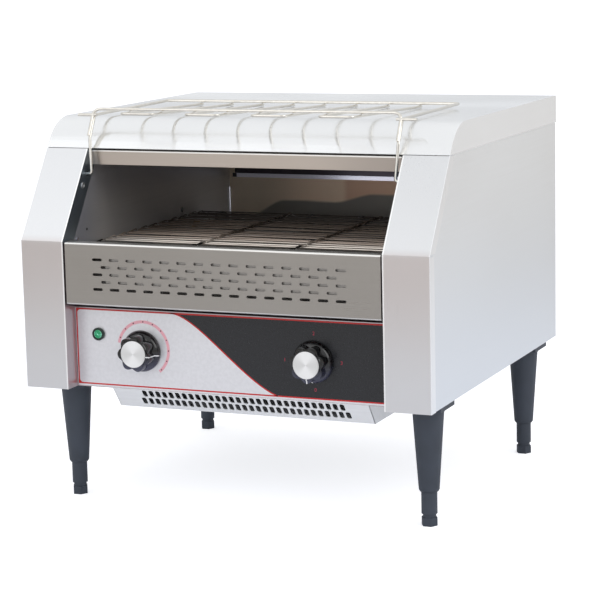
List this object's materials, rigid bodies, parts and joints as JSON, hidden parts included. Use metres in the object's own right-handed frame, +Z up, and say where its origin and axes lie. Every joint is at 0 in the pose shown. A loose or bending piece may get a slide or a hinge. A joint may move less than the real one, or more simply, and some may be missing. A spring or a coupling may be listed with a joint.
{
  "type": "conveyor toaster",
  "caption": "Countertop conveyor toaster: folding wire bread rack over a sloping mouth, wire belt between quartz tubes, rear slide, two dials, adjustable legs.",
  "frame": {"origin": "on the floor, under the middle of the case", "axes": "+X to the right seen from the front, +Y to the rear, +Z up"},
  "size_m": [0.468, 0.444, 0.4326],
  "materials": {
    "stainless_bright": "bright brushed stainless sheet",
    "stainless_band": "warm grey brushed stainless",
    "stainless_inner": "heat-darkened stainless",
    "stainless_tint": "heat-tinted polished stainless",
    "galvanised": "zinc-coated sheet",
    "chrome_wire": "bright plated wire",
    "belt_wire": "stainless wire, heat-tinted",
    "quartz": "frosted quartz",
    "ceramic": "white ceramic",
    "steel_shaft": "ground steel",
    "steel_wheel": "machined steel",
    "bronze": "sintered bronze",
    "motor_paint": "dark painted casting",
    "panel_print": "printed film, silver and black fields with red lines",
    "knob_black": "glossy black",
    "spun_aluminium": "spun",
    "lens_green": "green lens",
    "black_plastic": "matt",
    "leg_plastic": "matt slate grey",
    "foot_plastic": "matt slate grey",
    "switch_body": "ivory phenolic",
    "screw_steel": "nickel-plated"
  },
  "bodies": {
    "chassis": {"base_plate": "galvanised", "side_panel_left": "stainless_bright", "side_panel_right": "stainless_bright", "front_pillar_left": "stainless_bright", "front_pillar_right": "stainless_bright", "top_cover": "stainless_bright", "back_panel": "stainless_bright", "back_panel_screws": "screw_steel", "front_band": "stainless_band", "bay_front_wall": "stainless_inner", "lintel": "stainless_band", "chamber_wall_left": "stainless_inner", "chamber_wall_right": "stainless_inner", "rear_wall": "stainless_tint", "rear_baffle": "stainless_bright", "upper_reflector": "stainless_inner", "lower_reflector": "stainless_inner", "heater_tubes_upper": "quartz", "heater_tubes_lower": "quartz", "heater_caps": "ceramic", "belt_support": "stainless_inner", "wire_belt": "belt_wire", "shaft_bearings": "bronze", "gear_motor": "motor_paint", "drive_chain": "steel_wheel", "bay_floor": "stainless_inner", "compartment_wall": "galvanised", "toast_slide": "stainless_bright", "tray_runners": "galvanised", "control_panel": "stainless_bright", "panel_overlay": "panel_print", "lamp_bezel": "black_plastic", "lamp_lens": "lens_green", "speed_regulator": "switch_body", "rotary_switch": "switch_body", "intake_pan": "stainless_bright", "fan_frame": "black_plastic", "cord_bushing": "black_plastic", "terminal_block": "ceramic", "legs": "leg_plastic", "leg_nuts": "screw_steel"},
    "rack": {"rack_frame": "chrome_wire", "rack_slats": "chrome_wire"},
    "speed_dial": {"speed_knob": "knob_black", "speed_knob_cap": "spun_aluminium"},
    "switch_dial": {"switch_knob": "knob_black", "switch_knob_cap": "spun_aluminium"},
    "tray": {"crumb_tray": "stainless_bright"},
    "drive_roller": {"drive_shaft": "steel_shaft", "drive_sprockets": "steel_wheel", "chain_wheel": "steel_wheel"},
    "idler_roller": {"idler_shaft": "steel_shaft", "idler_sprockets": "steel_wheel"},
    "motor_output": {"motor_shaft": "steel_shaft", "motor_sprocket": "steel_wheel"},
    "fan_wheel": {"fan_rotor": "black_plastic"},
    "foot_fl": {"foot_front_left": "foot_plastic"},
    "foot_fr": {"foot_front_right": "foot_plastic"},
    "foot_rl": {"foot_rear_left": "foot_plastic"},
    "foot_rr": {"foot_rear_right": "foot_plastic"}
  },
  "joints": [
    {"name": "rack_fold", "type": "hinge", "parent": "chassis", "child": "rack", "pos_m": [0, -0.163, 0.3615], "axis": [1, 0, 0], "range_deg": [0, 144]},
    {"name": "speed_turn", "type": "hinge", "parent": "chassis", "child": "speed_dial", "pos_m": [-0.103, -0.2, 0.176], "axis": [0, 1, 0], "range_deg": [-240, 36]},
    {"name": "switch_turn", "type": "hinge", "parent": "chassis", "child": "switch_dial", "pos_m": [0.097, -0.2, 0.176], "axis": [0, 1, 0], "range_deg": [0, 270]},
    {"name": "crumb_tray_slide", "type": "slide", "parent": "chassis", "child": "tray", "axis": [0, 1, 0], "range_m": [0, 0.16]},
    {"name": "belt_drive", "type": "hinge", "parent": "chassis", "child": "drive_roller", "pos_m": [0, 0.106, 0.2645], "axis": [1, 0, 0], "continuous": true, "deforming": ["wire_belt", "drive_chain"]},
    {"name": "idler_turn", "type": "hinge", "parent": "chassis", "child": "idler_roller", "pos_m": [0, -0.166, 0.2645], "axis": [1, 0, 0], "continuous": true},
    {"name": "motor_turn", "type": "hinge", "parent": "chassis", "child": "motor_output", "pos_m": [0, -0.01748, 0.176], "axis": [1, 0, 0], "continuous": true},
    {"name": "fan_spin", "type": "hinge", "parent": "chassis", "child": "fan_wheel", "pos_m": [0.01, -0.125, 0.146], "axis": [0, 0, 1], "continuous": true},
    {"name": "foot_front_left_screw", "type": "slide", "parent": "chassis", "child": "foot_fl", "axis": [0, 0, -1], "range_m": [0, 0.02]},
    {"name": "foot_front_right_screw", "type": "slide", "parent": "chassis", "child": "foot_fr", "axis": [0, 0, -1], "range_m": [0, 0.02]},
    {"name": "foot_rear_left_screw", "type": "slide", "parent": "chassis", "child": "foot_rl", "axis": [0, 0, -1], "range_m": [0, 0.02]},
    {"name": "foot_rear_right_screw", "type": "slide", "parent": "chassis", "child": "foot_rr", "axis": [0, 0, -1], "range_m": [0, 0.02]}
  ],
  "couplings": [
    {"joint": "idler_turn", "follows": "belt_drive", "ratio": 1},
    {"joint": "motor_turn", "follows": "belt_drive", "ratio": 2}
  ]
}
